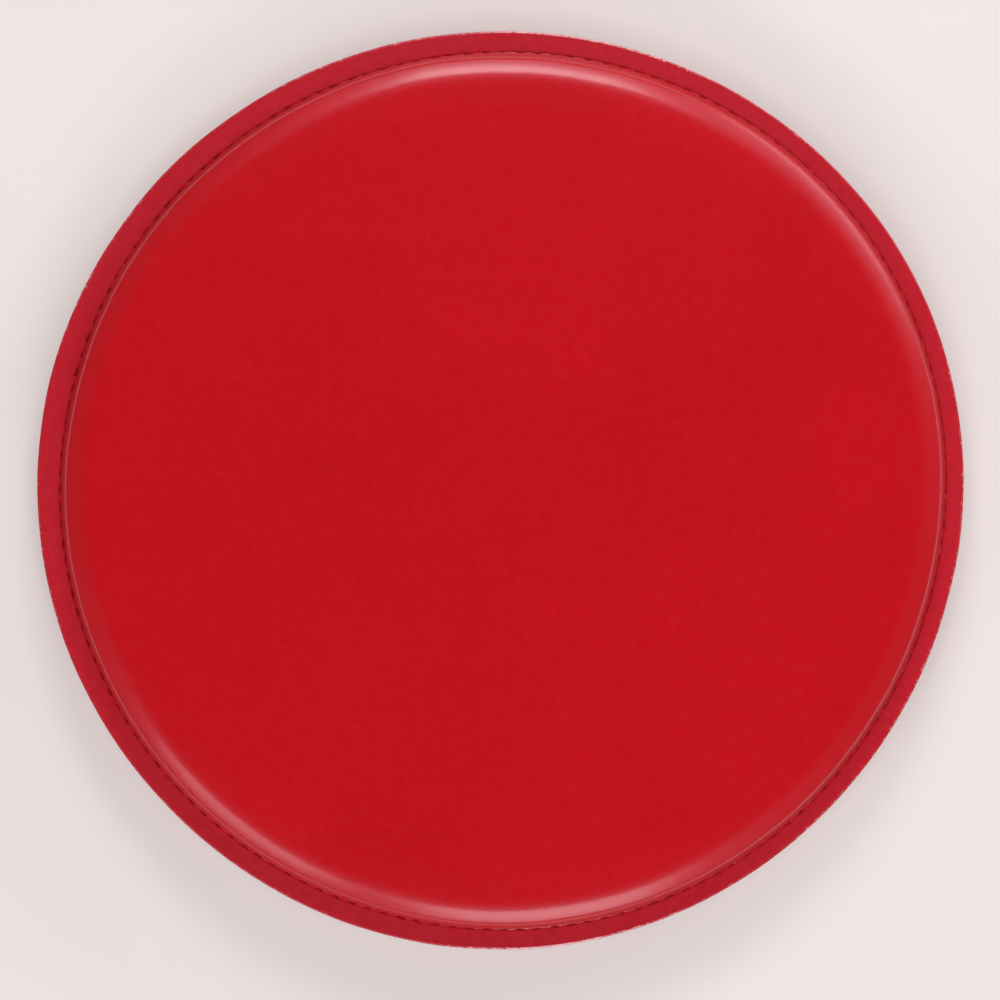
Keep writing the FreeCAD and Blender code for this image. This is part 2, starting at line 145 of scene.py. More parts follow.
def stitch_at(turn):
    """(how deep a stitch pulls the leather in here, from 0 to about 1; place along it, from -1 to 1)."""
    count = turn / TAU * STITCHES
    number = round(count) % STITCHES
    along = (count - round(count) - STITCH_SHIFT[number]) / (STITCH_SHARE * STITCH_LENGTH[number] / 2)
    pull = PULL_MEAN - PULL_CHANGE * math.cos(turn - PULL_LEAST_AT)
    inside = (1 - smooth(0.75, 1.15, abs(along))) * STITCH_DEPTH[number] * pull
    return inside, max(-1.0, min(1.0, along))


# ---- mesh building ----
class Builder:
    """Collects rings of points, the faces between them, and a few masks that the materials read."""

    def __init__(self):
        self.points = []
        self.faces = []
        self.masks = {"rim": [], "edge": [], "crease": [], "polish": []}

    def ring(self, points, **given):
        """Adds points. Each mask given is one number for the ring or a list with one for each point."""
        first = len(self.points)
        self.points += points
        for name, values in self.masks.items():
            value = given.get(name, 0.0)
            values += value if isinstance(value, list) else [value] * len(points)
        return list(range(first, first + len(points)))

    def bridge(self, a, b):
        """Quads between rings of one length, or five-sided faces where the second has half as many."""
        ratio = len(a) // len(b)
        for n in range(len(b)):
            m = (n + 1) % len(b)
            inner = [a[(n * ratio + k) % len(a)] for k in range(ratio + 1)]
            self.faces.append(inner + [b[m], b[n]])

    def fan(self, ring, centre):
        """Triangles from a ring to one point inside it."""
        middle = self.ring([centre])[0]
        for n in range(len(ring)):
            self.faces.append([ring[n], ring[(n + 1) % len(ring)], middle])

    def cap(self, ring):
        """One face over the end of a closed section."""
        self.faces.append(list(ring))

    def finish(self, name, material, slot, rides, stands_for):
        """Makes the piece, which stands for CAD nodes. It rides on a body, unless none is named."""
        mesh = bpy.data.meshes.new(name)
        mesh.from_pydata(self.points, [], self.faces)
        for mask, values in self.masks.items():
            layer = mesh.attributes.new(mask, "FLOAT", "POINT")
            layer.data.foreach_set("value", values)
        mesh.polygons.foreach_set("use_smooth", [True] * len(mesh.polygons))
        mesh.materials.append(material)
        mesh.update()
        piece = bpy.data.objects.new(name, mesh)
        bpy.context.scene.collection.objects.link(piece)
        outward(piece)
        if rides:
            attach(piece, rides)
        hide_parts(*stands_for)
        return piece


def outward(piece):
    """Turn every face of a closed piece outward."""
    work = bmesh.new()
    work.from_mesh(piece.data)
    bmesh.ops.recalc_face_normals(work, faces=work.faces)
    work.to_mesh(piece.data)
    work.free()


def round_arc(centre, radius, start, end, count):
    """Points (r, z) on an arc of a section, angles in degrees from +r towards +z."""
    turns = [math.radians(start + (end - start) * n / (count - 1)) for n in range(count)]
    return [(centre[0] + radius * math.cos(t), centre[1] + radius * math.sin(t)) for t in turns]


def straight(start, end, count):
    """Points between two others, with the first and without the last."""
    return [(start[0] + (end[0] - start[0]) * n / count, start[1] + (end[1] - start[1]) * n / count)
            for n in range(count)]


def polar(r, z, turn):
    """A section's point (r, z) turned to an angle round the case."""
    return (r * math.cos(turn), r * math.sin(turn), z)


def band(section, start, end, step, warp=None):
    """A closed section turned through part of a circle, with both ends capped, angles in degrees."""
    builder = Builder()
    columns = max(2, round((end - start) / step))
    rings = []
    for n in range(columns + 1):
        turn = math.radians(start + (end - start) * n / columns)
        spots = [warp(r, z, turn) if warp else (r, z) for r, z in section]
        rings.append(builder.ring([polar(r, z, turn) for r, z in spots]))
    for a, b in zip(rings, rings[1:]):
        builder.bridge(a, b)
    builder.cap(rings[0])
    builder.cap(rings[-1])
    return builder


def soft_box(low, high, corner, count=4):
    """A rounded rectangle in a section, from (r, z) to (r, z)."""
    (r0, z0), (r1, z1) = low, high
    spots = []
    for centre, start in (
        ((r1 - corner, z0 + corner), -90), ((r1 - corner, z1 - corner), 0),
        ((r0 + corner, z1 - corner), 90), ((r0 + corner, z0 + corner), 180),
    ):
        spots += round_arc(centre, corner, start, start + 90, count)
    return spots


# ---- materials ----
class Nodes:
    """A short way to write a material's nodes."""

    def __init__(self, name):
        self.material = bpy.data.materials.new(name)
        self.material.use_nodes = True
        self.tree = self.material.node_tree
        self.shader = self.tree.nodes["Principled BSDF"]
        self.place = self.add("ShaderNodeTexCoord").outputs["Object"]

    def add(self, kind, inputs=None, **settings):
        node = self.tree.nodes.new(kind)
        for key, value in settings.items():
            setattr(node, key, value)
        for key, value in (inputs or {}).items():
            self.feed(node.inputs[key], value)
        return node

    def feed(self, socket, value):
        if isinstance(value, bpy.types.NodeSocket):
            self.tree.links.new(value, socket)
        else:
            socket.default_value = value

    def noise(self, scale, detail=3.0, rough=0.55):
        return self.add("ShaderNodeTexNoise", {
            "Vector": self.place, "Scale": scale, "Detail": detail, "Roughness": rough}).outputs["Fac"]

    def cells(self, scale, feature="F1"):
        node = self.add("ShaderNodeTexVoronoi", {"Vector": self.place, "Scale": scale}, feature=feature)
        return node.outputs["Distance"]

    def scaled(self, value, from_low, from_high, to_low, to_high):
        return self.add("ShaderNodeMapRange", {
            "Value": value, "From Min": from_low, "From Max": from_high,
            "To Min": to_low, "To Max": to_high}).outputs["Result"]

    def math(self, operation, a, b=0.0):
        return self.add("ShaderNodeMath", {0: a, 1: b}, operation=operation).outputs[0]

    def mix(self, share, a, b):
        node = self.add("ShaderNodeMix", data_type="RGBA", blend_type="MIX")
        self.feed(node.inputs[0], share)
        self.feed(node.inputs[6], a)
        self.feed(node.inputs[7], b)
        return node.outputs[2]

    def mask(self, name):
        return self.add("ShaderNodeAttribute", attribute_name=name).outputs["Fac"]

    def bump(self, height, strength, distance, under=None):
        node = self.add("ShaderNodeBump", {"Height": height, "Strength": strength, "Distance": distance})
        if under is not None:
            self.feed(node.inputs["Normal"], under)
        return node.outputs["Normal"]

    def set(self, **values):
        for key, value in values.items():
            self.feed(self.shader.inputs[key.replace("_", " ")], value)
        return self.material


def red_leather():
    """Smooth calf: fine grain, faint mottling, a duller pressed rim, pale fibres on its cut edge, painted shade in
    the stitch slots, and a painted highlight on the wall's lip and the lit ends of the rim's edge.
    """
    n = Nodes("red_leather")
    cloud = n.scaled(n.noise(16.0, 4.0, 0.6), 0.35, 0.65, 0.0, 1.0)
    colour = n.mix(cloud, (0.470, 0.0008, 0.0038, 1), (0.506, 0.0016, 0.0060, 1))
    speck = n.scaled(n.noise(900.0, 2.0), 0.3, 0.7, 0.0, 1.0)
    colour = n.mix(n.math("MULTIPLY", speck, 0.18), colour, (0.45, 0.0025, 0.008, 1))
    rim = n.mask("rim")
    pressed = n.scaled(n.noise(420.0, 3.0, 0.7), 0.3, 0.7, 0.0, 1.0)
    pressed = n.mix(pressed, (0.440, 0.0080, 0.0170, 1), (0.520, 0.0140, 0.0270, 1))
    colour = n.mix(n.math("MULTIPLY", rim, 0.85), colour, pressed)
    crease = n.mask("crease")
    # Painted shade: the crease mask darkens the stitch slots towards a near black red, standing in for the shade
    # that falls in them.
    colour = n.mix(n.math("MULTIPLY", crease, 0.35), colour, (0.22, 0.002, 0.006, 1))
    edge = n.mask("edge")
    split = n.add("ShaderNodeSeparateXYZ", {"Vector": n.place})
    # The pale edge colour is pushed up at the two ends of Y, on the +X side: a painted highlight where the lamps
    # catch the rim's edge.
    ends = n.scaled(n.math("ABSOLUTE", split.outputs["Y"]), 0.90 * RIM_R, 0.985 * RIM_R, 0.0, 1.0)
    ends = n.math("MULTIPLY", ends, n.scaled(split.outputs["X"], -0.15 * RIM_R, 0.02 * RIM_R, 0.0, 1.0))
    fibre_noise_and_highlight = n.math("ADD", n.noise(1300.0, 3.0, 0.7), n.math("MULTIPLY", ends, 0.16))
    fibres_and_highlight = n.scaled(fibre_noise_and_highlight, 0.55, 0.63, 0.0, 1.0)
    wear_and_highlight = n.math("ADD", n.scaled(n.noise(22.0, 2.0), 0.42, 0.62, 0.10, 0.75), n.math("MULTIPLY", ends, 0.6))
    fibres_and_highlight = n.math("MULTIPLY", n.math("MULTIPLY", fibres_and_highlight, n.math("MINIMUM", wear_and_highlight, 1.0)), edge)
    # Pale fibres on the cut edges, partly real and partly a painted highlight: on the wall's lip and at the lit
    # ends of the rim, this pale colour is highlight.
    colour = n.mix(fibres_and_highlight, colour, (0.80, 0.40, 0.43, 1))
    rough = n.scaled(n.noise(260.0, 5.0, 0.7), 0.3, 0.7, 0.37, 0.48)
    rough = n.math("ADD", rough, n.math("MULTIPLY", rim, 0.06))
    rough = n.math("ADD", rough, n.math("MULTIPLY", fibres_and_highlight, 0.25))
    polish = n.mask("polish")
    rough = n.math("SUBTRACT", rough, n.math("MULTIPLY", polish, 0.03))
    pores = n.cells(1500.0)
    creases = n.cells(650.0, "DISTANCE_TO_EDGE")
    normal = n.bump(n.scaled(creases, 0.0, 0.25, 0.0, 1.0), 0.40, 0.03 * MM)
    normal = n.bump(pores, 0.45, 0.03 * MM, normal)
    normal = n.bump(n.noise(520.0, 3.0), 0.30, 0.06 * MM, normal)
    normal = n.bump(n.noise(70.0, 3.0), 0.14, 0.35 * MM, normal)
    return n.set(Base_Color=colour, Roughness=rough, Normal=normal, Specular_IOR_Level=0.46,
                 Specular_Tint=(1.0, 0.66, 0.88, 1), Coat_Weight=0.42, Coat_Roughness=0.2)


def thread_material():
    """Waxed thread, with the lay of its plies as a fine slanted ridge."""
    n = Nodes("red_thread")
    plies = n.add("ShaderNodeTexWave", {
        "Vector": n.place, "Scale": 1100.0, "Distortion": 1.5}, bands_direction="DIAGONAL").outputs["Fac"]
    colour = n.mix(plies, (0.20, 0.002, 0.006, 1), (0.36, 0.004, 0.012, 1))
    normal = n.bump(plies, 0.5, 0.05 * MM)
    return n.set(Base_Color=colour, Roughness=0.7, Specular_IOR_Level=0.2, Normal=normal)


def tape_material():
    """Ribbed woven tape, the ribs along the zip and the weft across it."""
    n = Nodes("zip_tape")
    split = n.add("ShaderNodeSeparateXYZ", {"Vector": n.place})
    turn = n.math("ARCTAN2", split.outputs["Y"], split.outputs["X"])
    weft = n.math("SINE", n.math("MULTIPLY", turn, TAPE_R / (0.42 * MM) * 2))
    reach = n.math("SQRT", n.math("ADD", n.math("POWER", split.outputs["X"], 2.0),
                                  n.math("POWER", split.outputs["Y"], 2.0)))
    across = n.math("ADD", split.outputs["Z"], reach)
    ribs = n.math("SINE", n.math("MULTIPLY", across, TAU / (0.75 * MM)))
    weave = n.math("MULTIPLY", weft, ribs)
    fuzz = n.noise(3000.0, 2.0)
    colour = n.mix(n.scaled(weave, -1.0, 1.0, 0.0, 1.0), (0.13, 0.003, 0.008, 1), (0.27, 0.007, 0.015, 1))
    colour = n.mix(n.math("MULTIPLY", fuzz, 0.4), colour, (0.20, 0.01, 0.015, 1))
    normal = n.bump(weave, 0.55, 0.08 * MM)
    return n.set(Base_Color=colour, Roughness=0.82, Normal=normal, Sheen_Weight=0.3, Sheen_Roughness=0.5)


def lining_material():
    """Brushed microfibre: soft nap with paler and darker patches."""
    n = Nodes("lining")
    patches = n.scaled(n.noise(28.0, 5.0, 0.7), 0.35, 0.65, 0.0, 1.0)
    nap = n.scaled(n.noise(1500.0, 3.0, 0.8), 0.3, 0.7, 0.0, 1.0)
    colour = n.mix(patches, (0.38, 0.29, 0.215, 1), (0.45, 0.355, 0.275, 1))
    colour = n.mix(n.math("MULTIPLY", nap, 0.45), colour, (0.26, 0.185, 0.135, 1))
    normal = n.bump(nap, 0.45, 0.12 * MM)
    normal = n.bump(patches, 0.15, 0.3 * MM, normal)
    return n.set(Base_Color=colour, Roughness=0.92, Normal=normal, Sheen_Weight=0.6, Sheen_Roughness=0.45,
                 Specular_IOR_Level=0.2)


def brass_material():
    """Polished brass with duller patches and fine scratches."""
    n = Nodes("brass")
    tarnish = n.scaled(n.noise(320.0, 4.0, 0.65), 0.35, 0.7, 0.0, 1.0)
    scratch = n.noise(2600.0, 2.0)
    colour = n.mix(tarnish, (0.86, 0.66, 0.34, 1), (0.70, 0.49, 0.22, 1))
    rough = n.math("ADD", n.scaled(tarnish, 0.0, 1.0, 0.20, 0.34), n.math("MULTIPLY", scratch, 0.10))
    return n.set(Base_Color=colour, Roughness=rough, Metallic=1.0, Normal=n.bump(scratch, 0.12, 0.02 * MM))


def board_material():
    """Pressed fibre board with flecks."""
    n = Nodes("board")
    flecks = n.cells(420.0)
    colour = n.mix(n.scaled(flecks, 0.0, 0.7, 0.0, 1.0), (0.42, 0.33, 0.22, 1), (0.56, 0.46, 0.33, 1))
    return n.set(Base_Color=colour, Roughness=0.9, Normal=n.bump(flecks, 0.3, 0.1 * MM))


def foam_material():
    """Closed-cell foam."""
    n = Nodes("foam")
    pores = n.cells(1300.0)
    colour = n.mix(n.scaled(pores, 0.0, 0.6, 0.0, 1.0), (0.52, 0.51, 0.47, 1), (0.78, 0.77, 0.72, 1))
    return n.set(Base_Color=colour, Roughness=0.95, Normal=n.bump(pores, 0.7, 0.15 * MM))


LEATHER_LOOK = red_leather()
THREAD_LOOK = thread_material()
TAPE_LOOK = tape_material()
LINING_LOOK = lining_material()
BRASS_LOOK = brass_material()
BOARD_LOOK = board_material()
FOAM_LOOK = foam_material()


# ---- the lid's leather ----
def top_height(x, y):
    """The padded flat: soft dips, and a slight fall towards its edge."""
    reach = math.hypot(x, y)
    fall = 0.45 * MM * smooth(0.6 * BOARD_R, 1.05 * BOARD_R, reach)
    dips = 0.10 * MM * ripple(x, y, 45 * MM, 1.0) + 0.035 * MM * ripple(x, y, 14 * MM, 2.0)
    return TOP - fall + dips * (1 - smooth(0.96 * BOARD_R, 1.03 * BOARD_R, reach))


def board_mark(reach, turn):
    """A fine ridge where the leather goes over the board's edge."""
    shown = 0.25 + 0.75 * smooth(-0.1, 0.5, ripple(math.cos(turn), math.sin(turn), 0.9, 5.0))
    off = (reach - WALL_R + BOARD_RIDGE) / (0.4 * MM)
    return 0.07 * MM * shown * math.exp(-off * off)


def crease_section(turn):
    """Points (r, z) outward over the lip at the wall's foot, down into the crease and up on the rim.

    The lip swells out between stitches, and at each stitch the crease opens into a slot.
    """
    inside, along = stitch_at(turn)
    bulge = 0.17 * MM * (1 - 1.6 * inside)
    lip = WALL_R - 0.25 * MM + bulge
    wide = (0.02 + 0.42 * inside) * MM
    deep = (0.06 + 0.55 * inside) * MM
    hook = 0.50 * MM * inside * smooth(0.35, 0.95, along)
    rows = [(-0.18, 0.98), (-0.16, 0.66), (-0.09, 0.48), (0.0, 0.41), (0.09, 0.30), (0.13, 0.13)]
    spots = [(lip + r * MM, RIM_TOP + z * MM) for r, z in rows]
    spots.append((lip + 0.14 * MM, RIM_TOP - 0.3 * deep))
    spots.append((lip + 0.17 * MM, RIM_TOP - deep))
    far = lip + 0.20 * MM + wide + hook
    spots.append((far, RIM_TOP - deep))
    spots.append((far + 0.05 * MM, RIM_TOP - 0.12 * MM))
    spots.append((far + 0.20 * MM, RIM_TOP + (0.02 + 0.16 * inside * smooth(0.3, 0.9, along)) * MM))
    spots.append((far + 0.60 * MM, RIM_TOP + 0.01 * MM))
    return spots


def rounded(corners, cuts):
    """A line through corners in a section, each corner cut off and replaced with a curve."""
    count = 6                        # points on each curve
    spots = [corners[0]]
    for before, corner, after, cut in zip(corners, corners[1:], corners[2:], cuts):
        a, b, c = Vector(before), Vector(corner), Vector(after)
        start, end = b + (a - b).normalized() * cut, b + (c - b).normalized() * cut
        for n in range(count):
            t = n / (count - 1)
            spots.append(tuple(start * (1 - t) ** 2 + b * 2 * t * (1 - t) + end * t ** 2))
    return spots + [corners[-1]]


# The padded edge, from the flat outward: a slight fall, a bevel over the board's edge, then the wall.
EDGE_CORNERS = [
    (WALL_R - 17.0 * MM, TOP - 0.03 * MM),
    (WALL_R - 8.4 * MM, TOP - 0.55 * MM),
    (WALL_R - 2.3 * MM, TOP - 3.45 * MM),
    (WALL_R - 0.50 * MM, TOP - 9.3 * MM),
    (WALL_R - 0.43 * MM, RIM_TOP + 1.3 * MM),
]
EDGE_CUTS = [3.8 * MM, 0.9 * MM, 0.5 * MM]
EDGE_LINE = rounded(EDGE_CORNERS, EDGE_CUTS)
CREASE_ROWS = 12                 # points that crease_section gives
RIM_ROWS = 4                     # mesh rows across the rim's flat
BEVEL_ROWS, TURNED_ROWS = 8, 4   # and over the upper and lower corners of its cut edge


def rim_sag(reach, turn):
    """The rim isn't quite flat."""
    out = smooth(WALL_R, RIM_R, reach)
    wave = 0.16 * ripple(math.cos(turn), math.sin(turn), 0.35, 8.0)
    return (wave - 0.10) * out * MM


def front_column(turn):
    """One section of the lid's leather, from the start of the roll to the same place underneath."""
    swell = seam_swell(turn)
    place = (math.cos(turn), math.sin(turn))
    hand = 0.45 * MM * ripple(*place, 0.5, 11.0) + 0.10 * MM * ripple(*place, 0.06, 12.0)
    width = 0.5 * MM * ripple(*place, 0.8, 13.0)
    centre = (WALL_R - FRONT_LEAN - ROLL, RIM_TOP + FRONT_WALL)
    spots = []
    for r, z in EDGE_LINE:
        up = (z - RIM_TOP) / (TOP - RIM_TOP)
        level = top_height(r * place[0], r * place[1]) - TOP
        pushed = (hand + width * smooth(0.5, 0.95, up)) * smooth(0.0, 0.35, up)
        spots.append((r + swell + pushed, z + level * smooth(0.9, 1.0, up) + board_mark(r, turn)))
    groove = [(r + swell, z) for r, z in crease_section(turn)]
    spots += groove
    edge = trimmed_edge(turn) + 0.05 * MM * ripple(*place, 0.012, 14.0)
    bevel = 0.62 * MM
    last = groove[-1][0]
    flat = [last + (edge - bevel - 0.1 * MM - last) * n / RIM_ROWS for n in range(1, RIM_ROWS + 1)]
    spots += [(r, RIM_TOP + rim_sag(r, turn)) for r in flat]
    sag = rim_sag(edge, turn)
    spots += [(r, z + sag) for r, z in round_arc(
        (edge - bevel, RIM_TOP - bevel), bevel, 88, 0, BEVEL_ROWS)]
    low = RIM_SPLIT + 0.02 * MM
    turned = 0.4 * MM
    spots += [(r, z + sag) for r, z in round_arc(
        (edge - turned, low + turned), turned, 0, -90, TURNED_ROWS)]
    spots.append((WALL_R - LEATHER * 0.4 + swell, low))
    spots.append((WALL_R - LEATHER + swell * 0.4, low + 0.4 * MM))
    inner = round_arc(centre, ROLL - LEATHER - 0.4 * MM, 0, 90, 6)
    spots += [(r + swell * 0.7 - 0.2 * MM, z) for r, z in inner]
    return spots


# Where the regions of such a section begin and end, counted in its points.
GROOVE_START = len(EDGE_LINE)
LIP_START, LIP_END = GROOVE_START + 1, GROOVE_START + 5
SLOT_START, SLOT_END = GROOVE_START + 6, GROOVE_START + 10
RIM_START = SLOT_END
EDGE_START = GROOVE_START + CREASE_ROWS + RIM_ROWS
EDGE_END = EDGE_START + BEVEL_ROWS + TURNED_ROWS


def close_flat(builder, ring, steps, height):
    """Rings from a wide one to the centre, with fewer points as they get smaller."""
    for reach, count in steps:
        turns = [TAU * n / count for n in range(count)]
        spots = [(reach * math.cos(t), reach * math.sin(t)) for t in turns]
        small = builder.ring([(x, y, height(x, y)) for x, y in spots])
        builder.bridge(ring, small)
        ring = small
    builder.fan(ring, (0, 0, height(0, 0)))


def front_leather():
    """The lid in one closed skin: the padded top, the crease, the rim and the lid's inside."""
    builder = Builder()
    columns = [front_column(TAU * n / COLUMNS) for n in range(COLUMNS)]
    # How deep each stitch pulls in, which also sets how much painted shade its slot gets.
    stitched = [min(1.0, stitch_at(TAU * n / COLUMNS)[0]) for n in range(COLUMNS)]
    rings = []
    for row in range(len(columns[0])):
        spots = [polar(*columns[n][row], TAU * n / COLUMNS) for n in range(COLUMNS)]
        cut_edge = float(EDGE_START <= row < EDGE_END)
        on_lip = LIP_START <= row < LIP_END
        in_slot = SLOT_START <= row < SLOT_END
        rings.append(builder.ring(
            spots,
            rim=float(row >= RIM_START),
            # On the lip, 0.7 of the pale edge colour is a painted highlight line, not fibres.
            edge=0.7 if on_lip else cut_edge,
            # In the slots the crease mask paints shade.
            crease=stitched if in_slot else 0.0,
            polish=max(cut_edge, smooth(3, 9, row) * (row < RIM_START))))
    for a, b in zip(rings, rings[1:]):
        builder.bridge(a, b)
    start = EDGE_CORNERS[0][0]
    upper = [(start - 1.5 * MM, COLUMNS // 2), (start - 4 * MM, COLUMNS // 4), (start - 8 * MM, COLUMNS // 4)]
    upper += [(start - (8 + 4.5 * n) * MM, COLUMNS // 8) for n in range(1, 12)]
    upper += [((60 - 5 * n) * MM, COLUMNS // 16) for n in range(5)]
    upper += [((36 - 5 * n) * MM, COLUMNS // 32) for n in range(4)]
    upper += [(15 * MM, COLUMNS // 64), (8 * MM, COLUMNS // 64)]
    close_flat(builder, rings[0], upper, top_height)
    lower = [(start - 6 * MM, COLUMNS // 2), (start - 14 * MM, COLUMNS // 4), (start - 30 * MM, COLUMNS // 8),
             (70 * MM, COLUMNS // 16), (40 * MM, COLUMNS // 32), (15 * MM, COLUMNS // 64)]
    close_flat(builder, rings[-1], lower, lambda x, y: TOP - LEATHER)
    builder.finish("front_leather", LEATHER_LOOK, "red_leather", "front", ["front_panel"])


def backing_leather():
    """The lower layer of the rim, cut along the same line as the upper one."""
    bevel = 0.3 * MM
    top = BACKING_TOP - 0.02 * MM
    base = soft_box((WALL_R - LEATHER, RIM_UNDER), (RIM_R, top), bevel)
    near_edge = RIM_R - 2.2 * bevel        # keeps the pale fibres to the cut edge
    base = [(near_edge, RIM_UNDER)] + base[:8] + [(near_edge, top)] + base[8:]

    def warp(r, z, turn):
        share = (r - (WALL_R - LEATHER)) / (RIM_R - WALL_R + LEATHER)
        return (r + share * (trimmed_edge(turn) - RIM_R - 0.05 * MM), z + rim_sag(r, turn))

    builder = Builder()
    count = COLUMNS // 2
    rings = []
    for r, z in base:
        turns = [TAU * n / count for n in range(count)]
        spots = [polar(*warp(r, z, t), t) for t in turns]
        outer = r > RIM_R - bevel * 1.01
        rings.append(builder.ring(spots, rim=1.0, edge=float(outer)))
    for a, b in zip(rings, rings[1:] + rings[:1]):
        builder.bridge(a, b)
    builder.finish("rim_lower_leather", LEATHER_LOOK, "red_leather", "front", ["rim_backing"])


def upper_tape():
    """Flat in the rim, then turned down to the zip."""
    out = RIM_R - TAPE_INSET
    inner = TAPE_R - TAPE
    low = TAPE_LOW
    bend = SEWN_BEND
    section = [(inner + 0.05 * MM, low), (TAPE_R - 0.05 * MM, low), (TAPE_R, low + 0.1 * MM)]
    section += straight((TAPE_R, low + 0.1 * MM), (TAPE_R, BACKING_TOP - bend), 6)[1:]
    section += [(TAPE_R, BACKING_TOP - bend)]
    section += round_arc((TAPE_R + bend, BACKING_TOP - bend), bend, 180, 90, 5)[1:]
    section += [(out, BACKING_TOP), (out, RIM_SPLIT)]
    section += round_arc((TAPE_R + bend, BACKING_TOP - bend), bend + TAPE, 90, 180, 6)
    section += straight((inner, BACKING_TOP - bend), (inner, low + 0.1 * MM), 6)[1:]
    section += [(inner, low + 0.1 * MM)]
    builder = band(section, ZIP_GAP - 270, 90 - ZIP_GAP, 0.5)
    builder.finish("upper_tape", TAPE_LOOK, "zip_tape", "front", ["upper_zip_tape"])


def lower_tape():
    """A flat tape against the inside of the back's wall."""
    section = soft_box((TAPE_R - TAPE, LOWER_TAPE_LOW), (TAPE_R, LOWER_TAPE_TOP), 0.12 * MM, 3)
    builder = band(section, ZIP_GAP - 270, 90 - ZIP_GAP, 0.5)
    builder.finish("lower_tape", TAPE_LOOK, "zip_tape", "back", ["lower_zip_tape"])


# ---- stitches ----
def add_stitch(builder, middle, along, up, length, radius, sink):
    """One stitch: a short tube that lies on the leather and dips into it at both ends."""
    side = along.cross(up).normalized()
    count, sides = 11, 8
    rise = 0.55                      # how far the tube's middle is above the leather, in radii
    rings = []
    for n in range(count):
        t = 2 * n / (count - 1) - 1
        lift = radius * rise - (radius * rise + sink) * abs(t) ** 5
        centre = middle + along * (t * length / 2 * (1 - 0.04 * abs(t) ** 5)) + up * lift
        spots = []
        for k in range(sides):
            turn = TAU * k / sides
            spots.append(tuple(centre + (side * math.cos(turn) + up * math.sin(turn)) * radius))
        rings.append(builder.ring(spots))
    for a, b in zip(rings, rings[1:]):
        builder.bridge(a, b)
    builder.cap(rings[0])
    builder.cap(rings[-1])


def rim_stitches():
    """The seam's upper thread, sunk in the crease, and its lower one under the rim."""
    builder = Builder()
    for n in range(STITCHES):
        turn = TAU * (n + STITCH_SHIFT[n]) / STITCHES
        reach = WALL_R + seam_swell(turn)
        out = Vector((math.cos(turn), math.sin(turn), 0))
        along = Vector((-math.sin(turn), math.cos(turn), 0))
        slanted = (along + out * 0.10).normalized()
        above = out * (reach + 0.12 * MM) + Vector((0, 0, RIM_TOP - 0.22 * MM))
        add_stitch(builder, above, slanted, Vector((0, 0, 1)),
                   STITCH_PITCH * STITCH_SHARE * STITCH_LENGTH[n] * 1.1, THREAD_R, 0.4 * MM)
        below = out * (WALL_R + 0.9 * MM) + Vector((0, 0, RIM_UNDER - 0.03 * MM + rim_sag(reach, turn)))
        add_stitch(builder, below, along, Vector((0, 0, -1)), STITCH_PITCH * 0.72, THREAD_R, 0.35 * MM)
    builder.finish("rim_stitches", THREAD_LOOK, "red_thread", "front", ["rim_thread"])


def wall_stitches():
    """The stitches that hold the lower tape and the hinge to the back's wall."""
    builder = Builder()
    low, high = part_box("wall_thread")
    middle = (low.z + high.z) / 2
    for n in range(STITCHES):
        turn = TAU * (n + 0.5 + STITCH_SHIFT[n] * 0.6) / STITCHES
        out = Vector((math.cos(turn), math.sin(turn), 0))
        along = Vector((-math.sin(turn), math.cos(turn), 0.04)).normalized()
        add_stitch(builder, out * (WALL_R - 0.10 * MM) + Vector((0, 0, middle)), along, out,
                   STITCH_PITCH * 0.68, THREAD_R, 0.35 * MM)
    builder.finish("wall_stitches", THREAD_LOOK, "red_thread", "back", ["wall_thread"])


# ---- the back ----
def back_leather():
    """Flat bottom, rolled lower edge and low wall, its top edge cut and rounded over."""
    builder = Builder()
    count = COLUMNS // 2
    centre = (WALL_R - BACK_ROLL, BACK_ROLL)
    bevel = 0.35 * MM

    def column(turn):
        hand = 0.12 * MM * ripple(math.cos(turn), math.sin(turn), 0.3, 21.0)
        spots = round_arc(centre, BACK_ROLL, -90, 0, 14)
        spots += straight((WALL_R, BACK_ROLL), (WALL_R, WALL_TOP - bevel), 4)[1:]
        nearest = turn / TAU * STITCHES - 0.5
        dimple = 0.10 * MM * math.exp(-((abs(nearest - round(nearest)) - 0.5) / 0.12) ** 2)
        spots = [(r - dimple * smooth(3.2 * MM, 3.9 * MM, z), z) for r, z in spots]
        top = round_arc((WALL_R - bevel, WALL_TOP - bevel), bevel, 0, 90, 4)
        top += round_arc((WALL_R - LEATHER + bevel, WALL_TOP - bevel), bevel, 90, 180, 4)
        inner = [(WALL_R - LEATHER, WALL_TOP - 1.2 * MM)] + round_arc(centre, BACK_ROLL - LEATHER, 0, -90, 6)
        return [(r, z + hand * smooth(BACK_ROLL, WALL_TOP, z)) for r, z in spots + top] + inner

    columns = [column(TAU * n / count) for n in range(count)]
    edge_first, edge_last = 17, 24   # the rows of the wall's cut top edge
    rings = []
    for row in range(len(columns[0])):
        spots = [polar(*columns[n][row], TAU * n / count) for n in range(count)]
        rings.append(builder.ring(spots, edge=float(edge_first <= row <= edge_last)))
    for a, b in zip(rings, rings[1:]):
        builder.bridge(a, b)

    def bottom(x, y):
        return 0.06 * MM * (1 + ripple(x, y, 40 * MM, 30.0)) * (1 - smooth(0.115, 0.13, math.hypot(x, y)))

    wide = WALL_R - BACK_ROLL
    outer = [(wide - 2 * MM, count // 2), (wide - 7 * MM, count // 4)]
    outer += [(wide - (7 + 7 * n) * MM, count // 8) for n in range(1, 9)]
    outer += [((62 - 8 * n) * MM, count // 16) for n in range(4)]
    outer += [(26 * MM, count // 32), (14 * MM, count // 32)]
    close_flat(builder, rings[0], outer, bottom)
    inside = [(wide - 6 * MM, count // 2), (wide - 20 * MM, count // 4), (80 * MM, count // 8),
              (50 * MM, count // 16), (25 * MM, count // 32), (12 * MM, count // 32)]
    close_flat(builder, rings[-1], inside, lambda x, y: LEATHER)
    builder.finish("back_leather", LEATHER_LOOK, "red_leather", "back", ["back_panel"])


